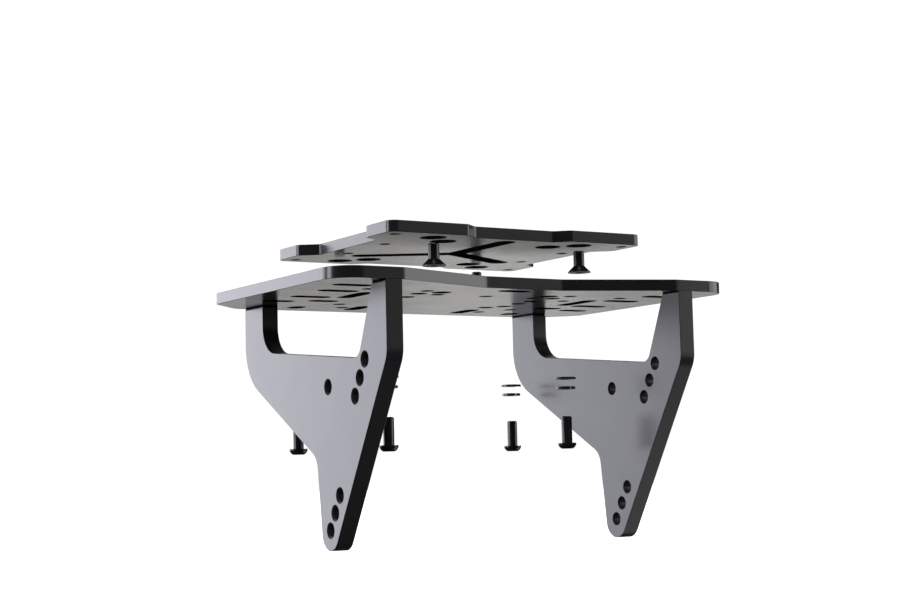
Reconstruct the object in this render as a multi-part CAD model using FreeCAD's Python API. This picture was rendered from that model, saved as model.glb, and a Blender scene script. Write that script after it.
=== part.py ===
import FreeCAD, Part
import math
import os

# An equipment deck in its taken-apart layout. A slotted deck plate stands on two side
# brackets, an adapter plate waits above it, four countersunk screws wait under the
# adapter plate, and four button head clamp screws wait under the deck with a flat
# washer and a lock washer each.
# Frame: X to the right, Y from the front to the rear, Z up. The origin lies on the axis
# of the middle holes of the two lower bolt rows, midway between the brackets.

V = FreeCAD.Vector
UP = V(0, 0, 1)
SIDES = (("left", -1), ("right", 1))
EDGE = 0.25                      # small bevel along every plate edge

# ---- driving dimensions, millimetres -------------------------------------------------

deck_width = 327.0
deck_depth = 223.2
deck_thickness = 8.2
deck_front_radius = 20.0
deck_rear_chamfer = 28.0
deck_rear_radius = 10.0
recess_depth = 27.8
recess_mouth = 226.0             # width of the front recess at the front edge
recess_floor = 64.2              # width of the front recess at its floor
recess_radius = 9.0

bracket_thickness = 12.6
bracket_pitch = 242.4            # outer face of one bracket to inner face of the other
bracket_depth = 222.4
front_upright_width = 18.9       # at the top, where it meets the deck
rear_upright_width = 31.4
front_slope = 31.3               # degrees from vertical, front edge below the upright
front_straight = 50.5            # height of the vertical part of the front edge
tip_radius = 12.3
tip_front_reach = 12.5           # middle of the last hole to the slanted front edge
tip_rear_reach = 13.3            # the same to the tail edge
rear_slope = 28.2                # degrees from horizontal, rear edge below the upright
rear_straight = 52.1
tail_slope = 7.1                 # degrees from vertical, rear edge above the tip
window_rear_drop = 35.6
window_slope = 5.15              # degrees, floor of the window
window_front_slope = 23.0        # degrees from vertical, inner edge of front upright

seat_groove = 1.1                # height of the fine groove along an upright's top
seat_groove_depth = 0.5
bracket_hole = 9.0
hole_pitch = 14.06
row_count = 3                    # holes in each slanted row
upper_row_middle = (38.3, 62.7)  # back from the deck's front edge, down from the deck
lower_row_middle = (77.3, 153.2)
single_hole = (85.4, 66.5)
outer_countersink = 11.7
inner_countersink = 10.2

adapter_lift = 28.2              # gap between the deck and the waiting adapter plate
adapter_thickness = 8.2
adapter_width = 212.2
adapter_depth = 178.4
adapter_centre_y = 120.1         # back from the deck's front edge
adapter_step = 8.6               # front and rear edges step in by this much
adapter_step_outer = 87.2
adapter_step_inner = 66.0
adapter_waist = 184.6
adapter_waist_start = 88.0
adapter_waist_end = 107.4
adapter_radius = 6.5             # four outer corners
star_arm = 78.0                  # centre of the three-armed slot to each arm's end
star_width = 15.0
star_offset = 2.3                # the slot's centre lies behind the plate's centre

tapped_bore = 8.2                # plain bore standing for an M8 thread
outer_tapped = (96.1, 77.5)
inner_tapped = (76.6, 28.2)
adapter_clearance = 9.0
adapter_countersink = 19.6
outer_countersunk = (61.8, 71.4)
inner_countersunk = (44.8, 56.3)

screw_shank = 8.0
countersunk_head = 17.0
countersunk_length = 16.0
countersunk_drop = 20.0          # head face below the waiting adapter plate
button_head = 13.8
button_height = 4.4
button_shank = 20.0
button_drop = 107.2              # head's seat below the deck
socket_across_flats = 5.0
socket_depth = 3.0
flat_washer_outer = 16.0
flat_washer_thickness = 1.6
flat_washer_drop = 59.4
lock_washer_outer = 14.6
lock_washer_thickness = 2.0
lock_washer_drop = 66.9
washer_bore = 8.4
lock_washer_split = 1.2

holding_screw = 6.0
holding_clearance = 6.6
holding_head = 11.6
holding_length = 22.0
holding_bore = 6.1

# ---- derived places ------------------------------------------------------------------

front = -lower_row_middle[0]
deck_bottom = lower_row_middle[1]
deck_top = deck_bottom + deck_thickness
adapter_bottom = deck_top + adapter_lift
bracket_outer = (bracket_pitch + bracket_thickness) / 2
bracket_inner = bracket_outer - bracket_thickness
adapter_middle = front + adapter_centre_y

# Deck slots, each right of the centre and mirrored to the left. A row holds the distance
# from the centre line, the distance back from the front edge, the end-to-end length,
# the width and the direction.
deck_slots = [
    (129.5, 42.0, 30.0, 12.4, "across"),
    (121.5, 79.0, 31.0, 12.4, "across"),
    (121.5, 122.0, 31.0, 12.4, "across"),
    (99.0, 147.0, 24.0, 12.4, "across"),
    (130.5, 157.0, 25.0, 12.4, "across"),
    (96.0, 101.5, 44.0, 12.4, "along"),
    (96.1, 197.6, 18.0, 12.4, "along"),
    (48.0, 189.0, 34.0, 12.4, "along"),
]
deck_middle_slot = (0.0, 42.0, 25.0, 12.4, "across")

# Deck holes on both sides: distance from the centre line, distance back from the front
# edge and diameter.
deck_holes = [
    (76.6, 91.9, 9.4),
    (54.0, 102.0, 12.0),
    (55.0, 121.0, 12.0),
    (56.0, 143.0, 12.0),
    (46.5, 155.0, 12.0),
    (57.5, 78.5, 12.0),
    (46.0, 66.0, 14.0),
    (41.0, 80.0, 10.0),
    (61.0, 60.0, 10.0),
    (107.0, 61.0, 10.0),
    (61.5, 189.5, 10.0),
    (76.0, 165.5, 10.0),
]
deck_middle_hole = (0.0, 80.0, 10.0)

# Holding screws through the deck into each bracket: distances back from the front edge.
holding_places = (9.8, 198.6, 213.4)


# ---- shared shapes -------------------------------------------------------------------

def rounded_wire(corners):
    """Closed wire through (point, radius) corners, each corner rounded by its radius."""
    starts = []
    ends = []
    arcs = []
    count = len(corners)
    for index, (point, radius) in enumerate(corners):
        before = corners[index - 1][0] - point
        after = corners[(index + 1) % count][0] - point
        before.normalize()
        after.normalize()
        if radius <= 0:
            starts.append(point)
            ends.append(point)
            arcs.append(None)
            continue
        half_angle = before.getAngle(after) / 2
        reach = radius / math.tan(half_angle)
        inward = before + after
        inward.normalize()
        centre = point + inward * (radius / math.sin(half_angle))
        first = point + before * reach
        last = point + after * reach
        starts.append(first)
        ends.append(last)
        arcs.append(Part.Arc(first, centre - inward * radius, last).toShape())
    edges = []
    for index in range(count):
        if arcs[index]:
            edges.append(arcs[index])
        following = starts[(index + 1) % count]
        if ends[index].distanceToPoint(following) > 1e-6:
            edges.append(Part.makeLine(ends[index], following))
    return Part.Wire(edges)


def plate(corners, direction, thickness):
    """Flat plate from a rounded outline, with a small bevel along both outer edges."""
    solid = Part.Face(rounded_wire(corners)).extrude(direction * thickness)
    base = corners[0][0].dot(direction)
    outline = []
    for edge in solid.Edges:
        heights = [vertex.Point.dot(direction) - base for vertex in edge.Vertexes]
        if max(heights) - min(heights) < 1e-6:
            outline.append(edge)
    return solid.makeChamfer(EDGE, outline)


def mirrored(point):
    return V(-point.x, point.y, point.z)


def slot_cutter(x, y, length, width, direction, bottom, thickness):
    """Round-ended slot right through a level plate."""
    radius = width / 2
    reach = length / 2 - radius
    step = V(reach, 0, 0) if direction == "across" else V(0, reach, 0)
    low = bottom - 1
    height = thickness + 2
    middle = V(x, y, low)
    ends = [Part.makeCylinder(radius, height, middle + step * sign) for sign in (-1, 1)]
    size = V(2 * step.x or width, 2 * step.y or width, 0)
    bar = Part.makeBox(size.x, size.y, height, middle - size / 2)
    return ends[0].fuse([ends[1], bar])


def hole_cutter(x, y, diameter, bottom, thickness):
    return Part.makeCylinder(diameter / 2, thickness + 2, V(x, y, bottom - 1))


def countersink_cutter(point, direction, small, large):
    """Ninety degree countersink whose wide end lies at point, narrowing on the way."""
    depth = (large - small) / 2
    mouth = Part.makeCone(large / 2 + 1, small / 2, depth + 1, point - direction, direction)
    return mouth


def hex_socket(point, direction, across_flats, depth):
    """Six-sided key hole that starts at point and goes along direction."""
    radius = across_flats / math.sqrt(3)
    ring = []
    for turn in range(7):
        angle = math.radians(60 * turn)
        ring.append(V(radius * math.cos(angle), radius * math.sin(angle), 0))
    prism = Part.Face(Part.makePolygon(ring)).extrude(V(0, 0, depth + 1))
    if direction.z < 0:
        prism.rotate(V(0, 0, 0), V(1, 0, 0), 180)
    prism.translate(point - direction)
    return prism


# ---- plates and brackets -------------------------------------------------------------

def deck_outline():
    half = deck_width / 2
    rear = front + deck_depth
    right = [
        (V(recess_floor / 2, front + recess_depth, deck_bottom), recess_radius),
        (V(recess_mouth / 2, front, deck_bottom), recess_radius),
        (V(half, front, deck_bottom), deck_front_radius),
        (V(half, rear - deck_rear_chamfer, deck_bottom), deck_rear_radius),
        (V(half - deck_rear_chamfer, rear, deck_bottom), deck_rear_radius),
    ]
    left = [(mirrored(point), radius) for point, radius in reversed(right)]
    return right + left


def make_deck():
    solid = plate(deck_outline(), UP, deck_thickness)
    cutters = []
    for x, y, length, width, direction in deck_slots:
        for sign in (-1, 1):
            cutters.append(slot_cutter(sign * x, front + y, length, width, direction,
                                       deck_bottom, deck_thickness))
    for x, y, diameter in deck_holes:
        for sign in (-1, 1):
            cutters.append(hole_cutter(sign * x, front + y, diameter,
                                       deck_bottom, deck_thickness))
    x, y, length, width, direction = deck_middle_slot
    cutters.append(slot_cutter(x, front + y, length, width, direction,
                               deck_bottom, deck_thickness))
    x, y, diameter = deck_middle_hole
    cutters.append(hole_cutter(x, front + y, diameter, deck_bottom, deck_thickness))
    for sign in (-1, 1):
        for y in holding_places:
            x = sign * (bracket_inner + bracket_thickness / 2)
            cutters.append(hole_cutter(x, front + y, holding_clearance,
                                       deck_bottom, deck_thickness))
            cutters.append(countersink_cutter(V(x, front + y, deck_top), -UP,
                                              holding_clearance, holding_head + 1.5))
    return solid.cut(cutters)


def bracket_outline(face_x):
    """Outline of a bracket on its outer face, front edge first, clockwise from the top."""
    def at(back, down):
        return V(face_x, front + back, deck_bottom - down)

    lean = math.tan(math.radians(front_slope))
    slope = math.tan(math.radians(rear_slope))
    tail = math.tan(math.radians(tail_slope))
    window = math.tan(math.radians(window_slope))
    inner_lean = math.tan(math.radians(window_front_slope))
    tip_back, tip_down = row_holes(lower_row_middle)[-1]

    # The tip is round about the last hole. The two edges that run into it are tangent
    # to that circle, so their corner is where the tangent lines would meet.
    lean_angle = math.radians(front_slope)
    tail_angle = math.radians(tail_slope)
    front_touch = (tip_back - tip_front_reach * math.cos(lean_angle),
                   tip_down + tip_front_reach * math.sin(lean_angle))
    tail_touch = (tip_back + tip_rear_reach * math.cos(tail_angle),
                  tip_down + tip_rear_reach * math.sin(tail_angle))
    meet_down = (tail_touch[0] + tail * tail_touch[1] - front_touch[0] +
                 lean * front_touch[1]) / (lean + tail)
    meet_back = front_touch[0] + lean * (meet_down - front_touch[1])

    # The front edge leaves the vertical where the slanted line crosses it.
    front_break = front_touch[1] - front_touch[0] / lean

    # The rear slope starts at the rear edge and ends where it crosses the tail line.
    waist_down = (tail_touch[0] + tail * tail_touch[1] - bracket_depth -
                  rear_straight / slope) / (tail - 1 / slope)
    waist_back = tail_touch[0] - tail * (waist_down - tail_touch[1])

    # The window between the uprights.
    rear_inner = bracket_depth - rear_upright_width
    sill_down = (window_rear_drop + window * (rear_inner - front_upright_width)) / (
        1 + window * inner_lean)
    sill_back = front_upright_width + inner_lean * sill_down
    return [
        (at(0, 0), 0),
        (at(0, front_break), 20.0),
        (at(meet_back, meet_down), tip_radius),
        (at(waist_back, waist_down), 14.0),
        (at(bracket_depth, rear_straight), 40.0),
        (at(bracket_depth, 0), 0),
        (at(rear_inner, 0), 0),
        (at(rear_inner, window_rear_drop), 21.0),
        (at(sill_back, sill_down), 9.0),
        (at(front_upright_width, 0), 0),
    ]


def row_holes(middle):
    """Hole centres of one slanted row, as distances back from the front and down."""
    lean_angle = math.radians(front_slope)
    step_back = hole_pitch * math.sin(lean_angle)
    step_down = hole_pitch * math.cos(lean_angle)
    offsets = [index - (row_count - 1) / 2 for index in range(row_count)]
    return [(middle[0] + step_back * offset, middle[1] + step_down * offset)
            for offset in offsets]


def groove_cutter(start, along, inward):
    """Fine groove under the deck that runs along from start and is cut inward."""
    low = deck_bottom - seat_groove
    depth = seat_groove_depth
    ledge = [
        (-1.0, deck_bottom + 1.0),
        (depth, deck_bottom + 1.0),
        (depth, low),
        (0.0, low - depth),
        (-1.0, low - depth),
    ]
    points = [start + inward * reach + UP * (height - start.z) for reach, height in ledge]
    return Part.Face(Part.makePolygon(points + points[:1])).extrude(along)


def make_left_bracket():
    inward = V(1, 0, 0)
    solid = plate(bracket_outline(-bracket_outer), inward, bracket_thickness)
    places = row_holes(upper_row_middle) + row_holes(lower_row_middle) + [single_hole]
    cutters = []
    for back, down in places:
        outer = V(-bracket_outer, front + back, deck_bottom - down)
        inner = outer + inward * bracket_thickness
        cutters.append(Part.makeCylinder(bracket_hole / 2, bracket_thickness + 2,
                                         outer - inward, inward))
        cutters.append(countersink_cutter(outer, inward, bracket_hole, outer_countersink))
        cutters.append(countersink_cutter(inner, -inward, bracket_hole, inner_countersink))
    rear_inner = bracket_depth - rear_upright_width
    for back, width in ((0.0, front_upright_width), (rear_inner, rear_upright_width)):
        outer_corner = V(-bracket_outer, front + back - 1, deck_bottom)
        cutters.append(groove_cutter(outer_corner, V(0, width + 2, 0), inward))
    window_corner = V(-bracket_outer - 1, front + rear_inner, deck_bottom)
    across = V(bracket_thickness + 2, 0, 0)
    cutters.append(groove_cutter(window_corner, across, V(0, 1, 0)))
    for back in holding_places:
        top = V(-bracket_inner - bracket_thickness / 2, front + back, deck_bottom)
        cutters.append(Part.makeCylinder(holding_bore / 2, holding_length,
                                         top - UP * (holding_length - 1)))
    return solid.cut(cutters)


def adapter_outline():
    half_width = adapter_width / 2
    half_depth = adapter_depth / 2
    waist = adapter_waist / 2
    quarter = [
        (adapter_step_inner / 2, half_depth - adapter_step, 3.0),
        (adapter_step_outer / 2, half_depth, 3.0),
        (half_width, half_depth, adapter_radius),
        (half_width, adapter_waist_end / 2, 6.0),
        (waist, adapter_waist_start / 2, 4.0),
    ]
    corners = []
    for side_x, side_y in ((1, 1), (1, -1), (-1, -1), (-1, 1)):
        points = quarter if side_x * side_y > 0 else list(reversed(quarter))
        for x, y, radius in points:
            corner = V(side_x * x, adapter_middle + side_y * y, adapter_bottom)
            corners.append((corner, radius))
    return corners


def corner_places(half_x, half_y):
    """The four places at equal distances either side of the adapter plate's middle."""
    return [(name_y + "_" + name_x, sign_x * half_x, adapter_middle + sign_y * half_y)
            for name_y, sign_y in (("front", -1), ("rear", 1))
            for name_x, sign_x in SIDES]


def make_adapter():
    solid = plate(adapter_outline(), UP, adapter_thickness)
    cutters = []
    for pattern in (outer_tapped, inner_tapped):
        for _, x, y in corner_places(*pattern):
            cutters.append(hole_cutter(x, y, tapped_bore, adapter_bottom,
                                       adapter_thickness))
    for pattern in (outer_countersunk, inner_countersunk):
        for _, x, y in corner_places(*pattern):
            cutters.append(hole_cutter(x, y, adapter_clearance, adapter_bottom,
                                       adapter_thickness))
            cutters.append(countersink_cutter(V(x, y, adapter_bottom), UP,
                                              adapter_clearance, adapter_countersink))
    middle = V(0, adapter_middle + star_offset, adapter_bottom - 1)
    for heading in (-90, 30, 150):
        arm = Part.makeBox(star_arm - star_width / 2, star_width, adapter_thickness + 2,
                           V(0, -star_width / 2, 0))
        end = Part.makeCylinder(star_width / 2, adapter_thickness + 2,
                                V(star_arm - star_width / 2, 0, 0))
        arm = arm.fuse(end)
        arm.rotate(V(0, 0, 0), UP, heading)
        arm.translate(middle)
        cutters.append(arm)
    cutters.append(Part.makeCylinder(star_width / 2, adapter_thickness + 2, middle))
    return solid.cut(cutters)


# ---- fasteners -----------------------------------------------------------------------

def countersunk_screw(face, direction, shank, head, length, socket, depth):
    """Countersunk screw: its flat head face is at face, its shank along direction."""
    rim = 0.4
    cone = (head - shank) / 2
    tip = shank * 0.1
    body = Part.makeCylinder(head / 2, rim, face, direction)
    cone_start = face + direction * rim
    shank_start = cone_start + direction * cone
    shank_length = length - rim - cone - tip
    body = body.fuse([
        Part.makeCone(head / 2, shank / 2, cone, cone_start, direction),
        Part.makeCylinder(shank / 2, shank_length, shank_start, direction),
        Part.makeCone(shank / 2, shank / 2 - tip, tip,
                      shank_start + direction * shank_length, direction),
    ]).removeSplitter()
    return body.cut(hex_socket(face, direction, socket, depth))


def button_screw(seat):
    """Button head screw standing on its head: the seat faces up, the shank rises."""
    tip = 0.8
    crown = button_head * 0.3
    foot = seat - UP * button_height
    rim = V(button_head / 2, 0, -1.0)
    edge = V(crown, 0, -button_height)
    bulge = V(button_head / 2 - 1.0, 0, -button_height * 0.68)
    arc = Part.Arc(rim, bulge, edge).toShape()
    section = Part.Wire([
        Part.makeLine(V(0, 0, 0), V(button_head / 2, 0, 0)),
        Part.makeLine(V(button_head / 2, 0, 0), rim),
        arc,
        Part.makeLine(edge, V(0, 0, -button_height)),
        Part.makeLine(V(0, 0, -button_height), V(0, 0, 0)),
    ])
    head = Part.Face(section).revolve(V(0, 0, 0), UP, 360)
    head.translate(seat)
    shank = Part.makeCylinder(screw_shank / 2, button_shank - tip, seat)
    point = Part.makeCone(screw_shank / 2, screw_shank / 2 - tip, tip,
                          seat + UP * (button_shank - tip))
    body = head.fuse([shank, point]).removeSplitter()
    return body.cut(hex_socket(foot, UP, socket_across_flats, socket_depth))


def washer(top, outer, thickness):
    """Flat ring whose upper face is at top, with a slight bevel on its outer rim."""
    ring = Part.makeCylinder(outer / 2, thickness, top - UP * thickness)
    ring = ring.makeChamfer(0.25, [edge for edge in ring.Edges if edge.Closed])
    return ring.cut(Part.makeCylinder(washer_bore / 2, thickness + 2,
                                      top - UP * (thickness + 1)))


def lock_washer(top):
    """Spring ring: a washer with one slanted split towards the front."""
    ring = washer(top, lock_washer_outer, lock_washer_thickness)
    gap = Part.makeBox(lock_washer_split, lock_washer_outer, lock_washer_thickness * 3,
                       V(-lock_washer_split / 2, -lock_washer_outer,
                         -lock_washer_thickness * 2))
    gap.rotate(V(0, 0, 0), V(0, 1, 0), 20)
    gap.translate(top)
    return ring.cut(gap)


def holding_screws(sign):
    """The countersunk screws that hold the deck down on one bracket."""
    x = sign * (bracket_inner + bracket_thickness / 2)
    screws = []
    for back in holding_places:
        face = V(x, front + back, deck_top - 0.2)
        screws.append(countersunk_screw(face, -UP, holding_screw, holding_head,
                                        holding_length, 4.0, 2.2))
    return Part.makeCompound(screws)


# ---- all pieces ----------------------------------------------------------------------

def make_pieces():
    left_bracket = make_left_bracket()
    right_bracket = left_bracket.mirror(V(0, 0, 0), V(1, 0, 0))
    pieces = {
        "deck_plate": make_deck(),
        "left_bracket": left_bracket,
        "right_bracket": right_bracket,
        "adapter_plate": make_adapter(),
    }
    for side, sign in SIDES:
        pieces[side + "_bracket_screws"] = holding_screws(sign)
    for place, x, y in corner_places(*outer_countersunk):
        face = V(x, y, adapter_bottom - countersunk_drop)
        pieces["adapter_screw_" + place] = countersunk_screw(
            face, UP, screw_shank, countersunk_head, countersunk_length,
            socket_across_flats, socket_depth)
    # The clamp screws reach the inner tapped pair at the front and the outer pair at
    # the rear.
    clamps = corner_places(*inner_tapped)[:2] + corner_places(*outer_tapped)[2:]
    for place, x, y in clamps:
        seat = V(x, y, deck_bottom - button_drop)
        pieces["clamp_screw_" + place] = button_screw(seat)
        pieces["flat_washer_" + place] = washer(
            V(x, y, deck_bottom - flat_washer_drop + flat_washer_thickness),
            flat_washer_outer, flat_washer_thickness)
        pieces["lock_washer_" + place] = lock_washer(
            V(x, y, deck_bottom - lock_washer_drop + lock_washer_thickness))
    return pieces


os.makedirs("parts", exist_ok=True)
for node, shape in make_pieces().items():
    shape.exportStep("parts/" + node + ".step")
    print(node, "valid", shape.isValid(), "volume cm3", round(shape.Volume / 1000, 2))
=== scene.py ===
import math

import bpy
from mathutils import Matrix, Vector


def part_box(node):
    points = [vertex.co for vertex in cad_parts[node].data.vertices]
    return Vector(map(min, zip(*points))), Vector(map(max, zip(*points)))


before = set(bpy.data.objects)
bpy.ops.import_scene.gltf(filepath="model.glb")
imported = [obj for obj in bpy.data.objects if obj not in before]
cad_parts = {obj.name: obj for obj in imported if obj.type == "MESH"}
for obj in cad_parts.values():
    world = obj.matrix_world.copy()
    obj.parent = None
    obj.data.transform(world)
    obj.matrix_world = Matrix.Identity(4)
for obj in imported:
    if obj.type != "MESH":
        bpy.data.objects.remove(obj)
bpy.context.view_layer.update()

deck_low, deck_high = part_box("deck_plate")
bracket_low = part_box("left_bracket")[0]
adapter_low, adapter_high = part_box("adapter_plate")

# Lengths are in metres. A rim is the uncut border of a plate, outside its slots and holes.
DECK_SIDE_RIM = 0.0175
DECK_FRONT_RIM = 0.032
DECK_REAR_RIM = 0.0112
ADAPTER_SIDE_RIM = 0.0142
ADAPTER_END_RIM = 0.0092
# The groove is also painted flat black as shade, up to this height.
GROOVE_HEIGHT = 0.0010         # fine groove along the top of each upright
REAR_UPRIGHT_START = 0.18      # from the deck's front edge to the rear uprights
FLOOR_GAP = 0.0005

# The slots and holes of each plate lie inside its box, and its outer edges outside;
# upright walls inside the box get painted shade.
deck_cuts_low = (deck_low[0] + DECK_SIDE_RIM, deck_low[1] + DECK_FRONT_RIM)
deck_cuts_high = (deck_high[0] - DECK_SIDE_RIM, deck_high[1] - DECK_REAR_RIM)
adapter_cuts_low = (adapter_low[0] + ADAPTER_SIDE_RIM, adapter_low[1] + ADAPTER_END_RIM)
adapter_cuts_high = (adapter_high[0] - ADAPTER_SIDE_RIM,
                     adapter_high[1] - ADAPTER_END_RIM)
floor_height = bracket_low[2] - FLOOR_GAP


# ---- shader helpers --------------------------------------------------------------------

SQUARE_ON = 0.5                # above this, a face counts as looking along an axis
WHITE = (1.0, 1.0, 1.0, 1.0)
# Colour of painted shade, put on slot and hole walls and on the bracket groove under the
# deck.
PAINTED_SHADE_BLACK = (0.004, 0.004, 0.004, 1.0)


class Value:
    """A number socket of a shader, so that shader maths reads as plain expressions."""

    def __init__(self, shop, socket):
        self.shop = shop
        self.socket = socket

    def maths(self, operation, *others):
        return self.shop.node("ShaderNodeMath", {"operation": operation},
                              dict(enumerate((self,) + others)))

    def __add__(self, other):
        return self.maths("ADD", other)

    def __sub__(self, other):
        return self.maths("SUBTRACT", other)

    def __rsub__(self, other):
        return self.shop.node("ShaderNodeMath", {"operation": "SUBTRACT"},
                              {0: other, 1: self})

    def __mul__(self, other):
        return self.maths("MULTIPLY", other)

    __radd__ = __add__
    __rmul__ = __mul__

    def clamp(self, low=0.0, high=1.0):
        return self.maths("MAXIMUM", low).maths("MINIMUM", high)

    def size(self):
        return self.maths("ABSOLUTE")

    def above(self, limit):
        return self.maths("GREATER_THAN", limit)

    def below(self, limit):
        return self.maths("LESS_THAN", limit)


class Shop:
    """A tree of nodes and the one way in which its nodes are made."""

    def __init__(self, tree):
        self.tree = tree

    def node(self, kind, settings=None, inputs=None, output=0):
        made = self.tree.nodes.new(kind)
        for key, setting in (settings or {}).items():
            setattr(made, key, setting)
        for key, given in (inputs or {}).items():
            self.feed(made.inputs[key], given)
        return Value(self, made.outputs[output]) if made.outputs else None

    def feed(self, socket, given):
        if isinstance(given, Value):
            self.tree.links.new(given.socket, socket)
        else:
            socket.default_value = given


class Finish(Shop):
    """One material and the nodes that make its finish."""

    def __init__(self, name):
        self.material = bpy.data.materials.new(name)
        self.material.use_nodes = True
        super().__init__(self.material.node_tree)
        self.shader = self.tree.nodes["Principled BSDF"]

    def place(self):
        return self.node("ShaderNodeTexCoord", output="Object")

    def parts_of(self, vector):
        """The three numbers of a vector, as separate values."""
        return [self.node("ShaderNodeSeparateXYZ", {}, {0: vector}, output=axis)
                for axis in range(3)]

    def facing(self):
        """The direction in which a face looks, as its parts along X, Y and Z."""
        return self.parts_of(self.node("ShaderNodeNewGeometry", output="True Normal"))

    def facing_up(self):
        """One on faces that look up, nought elsewhere."""
        return self.facing()[2].above(SQUARE_ON)

    def facing_sideways(self):
        """One on faces that look left or right, nought elsewhere."""
        return self.facing()[0].size().above(SQUARE_ON)

    def upright(self):
        """One on vertical walls, nought on faces that lie flat."""
        return self.facing()[2].size().below(SQUARE_ON)

    def paint_shade(self, mask):
        """Painted shade: flat black wherever mask is one, and the finish elsewhere."""
        # A flat black shader that stands in for shade where the mask is one.
        shade_shader = self.node("ShaderNodeBsdfPrincipled", {}, {
            "Base Color": PAINTED_SHADE_BLACK, "Roughness": 1.0, "Specular IOR Level": 0.0})
        own_finish = Value(self, self.shader.outputs[0])
        mixed = self.node("ShaderNodeMixShader", {}, {0: mask, 1: own_finish, 2: shade_shader})
        self.feed(self.tree.nodes["Material Output"].inputs["Surface"], mixed)

    def stretched(self, scale):
        return self.node("ShaderNodeMapping", {}, {"Vector": self.place(), "Scale": scale})

    def noise(self, scale, detail, vector=None):
        return self.node("ShaderNodeTexNoise", {}, {
            "Vector": vector or self.place(), "Scale": scale, "Detail": detail})

    def blend(self, amount, dark, light):
        return self.node("ShaderNodeMix", {"data_type": "RGBA"}, {
            "Factor": amount, 6: dark, 7: light}, output=2)

    def bump(self, height, distance, strength):
        return self.node("ShaderNodeBump", {}, {
            "Height": height, "Distance": distance, "Strength": strength})

    def surface(self, **sockets):
        for name, given in sockets.items():
            self.feed(self.shader.inputs[name.replace("_", " ")], given)
        return self.material


def shade(colour, factor):
    """The colour made darker or lighter by a factor, with full opacity."""
    return tuple(channel * factor for channel in colour) + (1.0,)


# ---- finishes --------------------------------------------------------------------------

ANODISED_BLACK = (0.016, 0.016, 0.0185)
OXIDE_BLACK = (0.03, 0.03, 0.031)
WASHER_BLACK = (0.05, 0.05, 0.052)
PLATE_ROUGH = 0.23
BRACKET_ROUGH = 0.29
SCREW_ROUGH = 0.2
WASHER_ROUGH = 0.22
TOP_WEAR = 0.2                 # extra roughness of the faces that look up

NOISE_MIDDLE = 0.5             # average of a noise
CLOUD_DARK = 0.8               # tone of the anodising's faint clouds
CLOUD_LIGHT = 1.25
CLOUD_ROUGH = 0.05             # how far clouds and handling change the roughness
HANDLED_ROUGH = 0.04
ANODISED_IOR = 1.5
BLASTED_RELIEF = 0.00004
BLASTED_STRENGTH = 0.25
RUB_START = 0.35               # noise above this shows as a bright rub on the oxide
RUB_LIGHT = 2.2
MOTTLED_ROUGH = 0.12
TURNING_STRETCH = (0.15, 0.15, 3.0)
TURNED_RELIEF = 0.00005
TURNED_STRENGTH = 0.3
OXIDE_METALLIC = 0.6
FLOOR_DARK = 0.88
FLOOR_LIGHT = 0.92
FLOOR_ROUGH = 0.9


def anodised(name, rough=PLATE_ROUGH):
    """Fine blasted black anodised aluminium: satin, and duller on its tops."""
    finish = Finish(name)
    blasted = finish.noise(scale=1900.0, detail=3.0)
    cloud = finish.noise(scale=14.0, detail=3.0)
    handled = finish.noise(scale=55.0, detail=4.0)
    colour = finish.blend(cloud, shade(ANODISED_BLACK, CLOUD_DARK),
                          shade(ANODISED_BLACK, CLOUD_LIGHT))
    roughness = (rough + (cloud - NOISE_MIDDLE) * CLOUD_ROUGH
                 + (handled - NOISE_MIDDLE) * HANDLED_ROUGH
                 + finish.facing_up() * TOP_WEAR)
    relief = finish.bump(blasted, BLASTED_RELIEF, BLASTED_STRENGTH)
    finish.surface(Base_Color=colour, Roughness=roughness, Normal=relief,
                   IOR=ANODISED_IOR)
    return finish


def slotted_plate(name, low, high):
    """Anodised plate whose slot and hole walls, inside low and high, get painted shade:
    flat black standing in for the dark inside of the slots.
    """
    finish = anodised(name)
    x, y = finish.parts_of(finish.place())[:2]
    inside = x.above(low[0]) * x.below(high[0]) * y.above(low[1]) * y.below(high[1])
    # Painted shade: upright walls inside the box are made flat black.
    finish.paint_shade(inside * finish.upright())
    return finish.material


def bracket_plate(name):
    """Anodised bracket with painted shade: flat black on the groove just under the deck,
    where bracket and deck meet.
    """
    finish = anodised(name, BRACKET_ROUGH)
    y, z = finish.parts_of(finish.place())[1:]
    # Painted shade: the band just under the deck, on side faces and on the rear uprights,
    # is made flat black.
    groove = z.above(deck_low[2] - GROOVE_HEIGHT)
    rear = y.above(deck_low[1] + REAR_UPRIGHT_START)
    finish.paint_shade(groove * (finish.facing_sideways() + rear).clamp() * finish.upright())
    return finish.material


def black_oxide(name, base, rough):
    """Oiled black oxide on turned steel: fine turning marks and a few bright rubs."""
    finish = Finish(name)
    turning = finish.stretched(TURNING_STRETCH)
    turned = finish.noise(scale=900.0, detail=2.0, vector=turning)
    mottled = finish.noise(scale=260.0, detail=3.0)
    colour = finish.blend((mottled - RUB_START).clamp(), shade(base, 1.0),
                          shade(base, RUB_LIGHT))
    roughness = rough + (mottled - NOISE_MIDDLE) * MOTTLED_ROUGH
    relief = finish.bump(turned, TURNED_RELIEF, TURNED_STRENGTH)
    return finish.surface(Base_Color=colour, Roughness=roughness, Normal=relief,
                          Metallic=OXIDE_METALLIC)


def floor_finish():
    """Plain pale floor that glows evenly, so that it stays white."""
    finish = Finish("studio_floor")
    faint = finish.noise(scale=3.0, detail=2.0)
    colour = finish.blend(faint, shade(WHITE[:3], FLOOR_DARK),
                          shade(WHITE[:3], FLOOR_LIGHT))
    return finish.surface(Base_Color=colour, Roughness=FLOOR_ROUGH, Emission_Color=WHITE,
                          Emission_Strength=1.0)


def dress(node, material):
    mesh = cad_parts[node].data
    mesh.materials.clear()
    mesh.materials.append(material)


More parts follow.
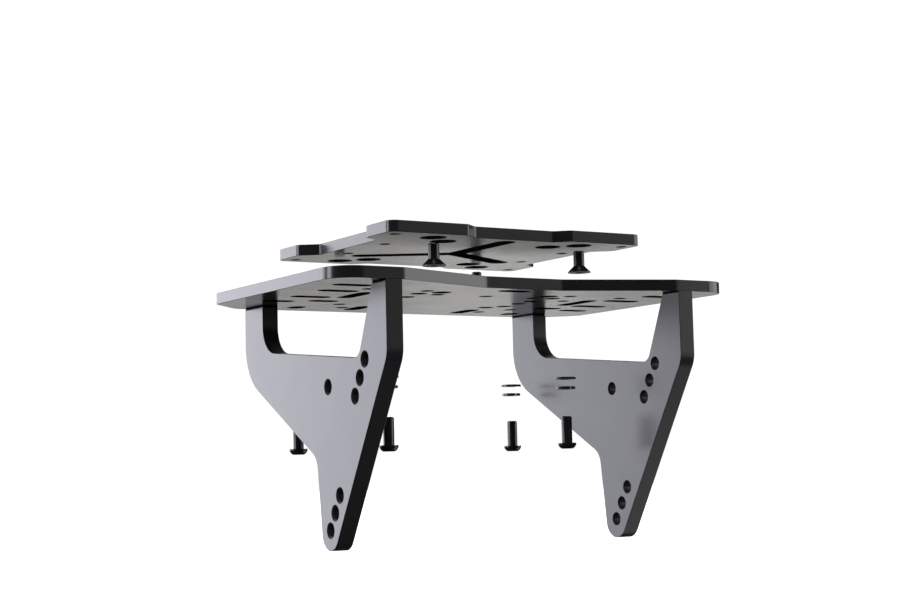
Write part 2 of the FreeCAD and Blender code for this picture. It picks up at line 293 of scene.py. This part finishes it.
def dress_everything():
    deck_finish = slotted_plate("black_anodised_deck", deck_cuts_low, deck_cuts_high)
    adapter_finish = slotted_plate("black_anodised_adapter", adapter_cuts_low,
                                   adapter_cuts_high)
    bracket_finish = bracket_plate("black_anodised_bracket")
    screw_finish = black_oxide("black_oxide_screw", OXIDE_BLACK, SCREW_ROUGH)
    washer_finish = black_oxide("dark_washer_steel", WASHER_BLACK, WASHER_ROUGH)
    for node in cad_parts:
        if "washer" in node:
            dress(node, washer_finish)
        elif "screw" in node:
            dress(node, screw_finish)
        elif "bracket" in node:
            dress(node, bracket_finish)
        elif node == "deck_plate":
            dress(node, deck_finish)
        else:
            dress(node, adapter_finish)


# ---- studio ----------------------------------------------------------------------------

FLOOR_REACH = 60.0
BACKDROP_STRENGTH = 1.05       # white behind the object
AMBIENT_STRENGTH = 0.045       # faint light from all sides
LIGHT_TARGET = (0.0, 0.03, 0.08)

CAMERA_PLACE = (-0.67577, -1.07132, 0.02786)
CAMERA_YAW = 30.993            # degrees, to the right of straight ahead
CAMERA_PITCH = 5.552           # degrees, upwards
CAMERA_ROLL = -1.304           # degrees
CAMERA_LENS = 69.8             # millimetres
CAMERA_SENSOR = 36.0           # millimetres
CAMERA_NEAR = 0.01
CAMERA_FAR = 300.0


def make_floor():
    mesh = bpy.data.meshes.new("studio_floor")
    corners = [(-FLOOR_REACH, -FLOOR_REACH), (FLOOR_REACH, -FLOOR_REACH),
               (FLOOR_REACH, FLOOR_REACH), (-FLOOR_REACH, FLOOR_REACH)]
    mesh.from_pydata([(x, y, floor_height) for x, y in corners], [], [(0, 1, 2, 3)])
    mesh.materials.append(floor_finish())
    floor = bpy.data.objects.new("studio_floor", mesh)
    bpy.context.collection.objects.link(floor)
    floor.visible_glossy = False
    floor.visible_diffuse = False
    floor.visible_shadow = False


def panel(name, place, width, height, power, target=LIGHT_TARGET, colour=WHITE[:3]):
    """Soft rectangular light at place, facing target."""
    light = bpy.data.lights.new(name, "AREA")
    light.shape = "RECTANGLE"
    light.size = width
    light.size_y = height
    light.energy = power
    light.color = colour
    lamp = bpy.data.objects.new(name, light)
    bpy.context.collection.objects.link(lamp)
    lamp.location = place
    aim = Vector(target) - Vector(place)
    lamp.rotation_euler = aim.to_track_quat("-Z", "Y").to_euler()
    lamp.visible_camera = False


def make_world():
    """White where the camera looks straight at it, and nearly dark as a light."""
    world = bpy.data.worlds.new("studio")
    world.use_nodes = True
    world.node_tree.nodes.clear()
    studio = Shop(world.node_tree)
    lit = studio.node("ShaderNodeBackground", {}, {
        "Color": WHITE, "Strength": AMBIENT_STRENGTH})
    seen = studio.node("ShaderNodeBackground", {}, {
        "Color": WHITE, "Strength": BACKDROP_STRENGTH})
    straight = studio.node("ShaderNodeLightPath", output="Is Camera Ray")
    mixed = studio.node("ShaderNodeMixShader", {}, {0: straight, 1: lit, 2: seen})
    studio.node("ShaderNodeOutputWorld", {}, {"Surface": mixed})
    bpy.context.scene.world = world


def make_lights():
    panel("rear_left_softbox", (-1.30, 2.5, 0.7), width=1.95, height=2.4, power=69.0,
          colour=(0.9, 0.905, 1.0))
    panel("left_softbox", (-2.5, 0.85, 0.5), width=0.8, height=1.9, power=36.0,
          colour=(0.93, 0.94, 1.0))
    panel("rear_sky", (1.9, 3.2, 1.05), width=3.6, height=2.0, power=34.0,
          target=(0.0, 0.03, 1.05), colour=(1.0, 0.99, 0.96))
    panel("rear_ground", (1.9, 3.2, -0.35), width=3.6, height=0.7, power=5.5,
          target=(0.0, 0.03, -0.35), colour=(1.0, 0.98, 0.95))
    panel("rear_low_strip", (10.8, 16.8, -3.9), width=2.2, height=1.3, power=11.5,
          target=(0.1, 0.15, 0.2))
    panel("right_softbox", (2.3, -1.0, 0.5), width=1.9, height=1.6, power=27.0)
    panel("front_right_fill", (1.4, -2.0, 0.6), width=1.3, height=1.6, power=2.2)
    panel("low_right_softbox", (1.5, -0.2, -1.05), width=1.2, height=1.0, power=4.6)
    panel("top_softbox", (0.2, 0.4, 2.4), width=2.4, height=2.4, power=26.0)
    panel("front_high_softbox", (-0.9, -2.1, 2.2), width=2.4, height=1.3, power=26.0)
    panel("rear_high_softbox", (0.9, 2.3, 2.6), width=2.4, height=1.3, power=20.0)


def make_camera():
    """Low viewpoint to the left of the front, looking slightly upwards."""
    yaw = math.radians(CAMERA_YAW)
    pitch = math.radians(CAMERA_PITCH)
    roll = math.radians(CAMERA_ROLL)
    forward = Vector((math.sin(yaw) * math.cos(pitch),
                      math.cos(yaw) * math.cos(pitch), math.sin(pitch)))
    right = Vector((math.cos(yaw), -math.sin(yaw), 0.0))
    up = right.cross(forward)
    tilted_right = right * math.cos(roll) + up * math.sin(roll)
    tilted_up = up * math.cos(roll) - right * math.sin(roll)
    data = bpy.data.cameras.new("camera")
    data.sensor_width = CAMERA_SENSOR
    data.lens = CAMERA_LENS
    data.clip_start = CAMERA_NEAR
    data.clip_end = CAMERA_FAR
    camera = bpy.data.objects.new("camera", data)
    bpy.context.collection.objects.link(camera)
    turn = Matrix((tilted_right, tilted_up, -forward)).transposed()
    camera.matrix_world = Matrix.Translation(CAMERA_PLACE) @ turn.to_4x4()
    bpy.context.scene.camera = camera


dress_everything()
make_floor()
make_world()
make_lights()
make_camera()
bpy.context.scene.view_settings.view_transform = "Standard"
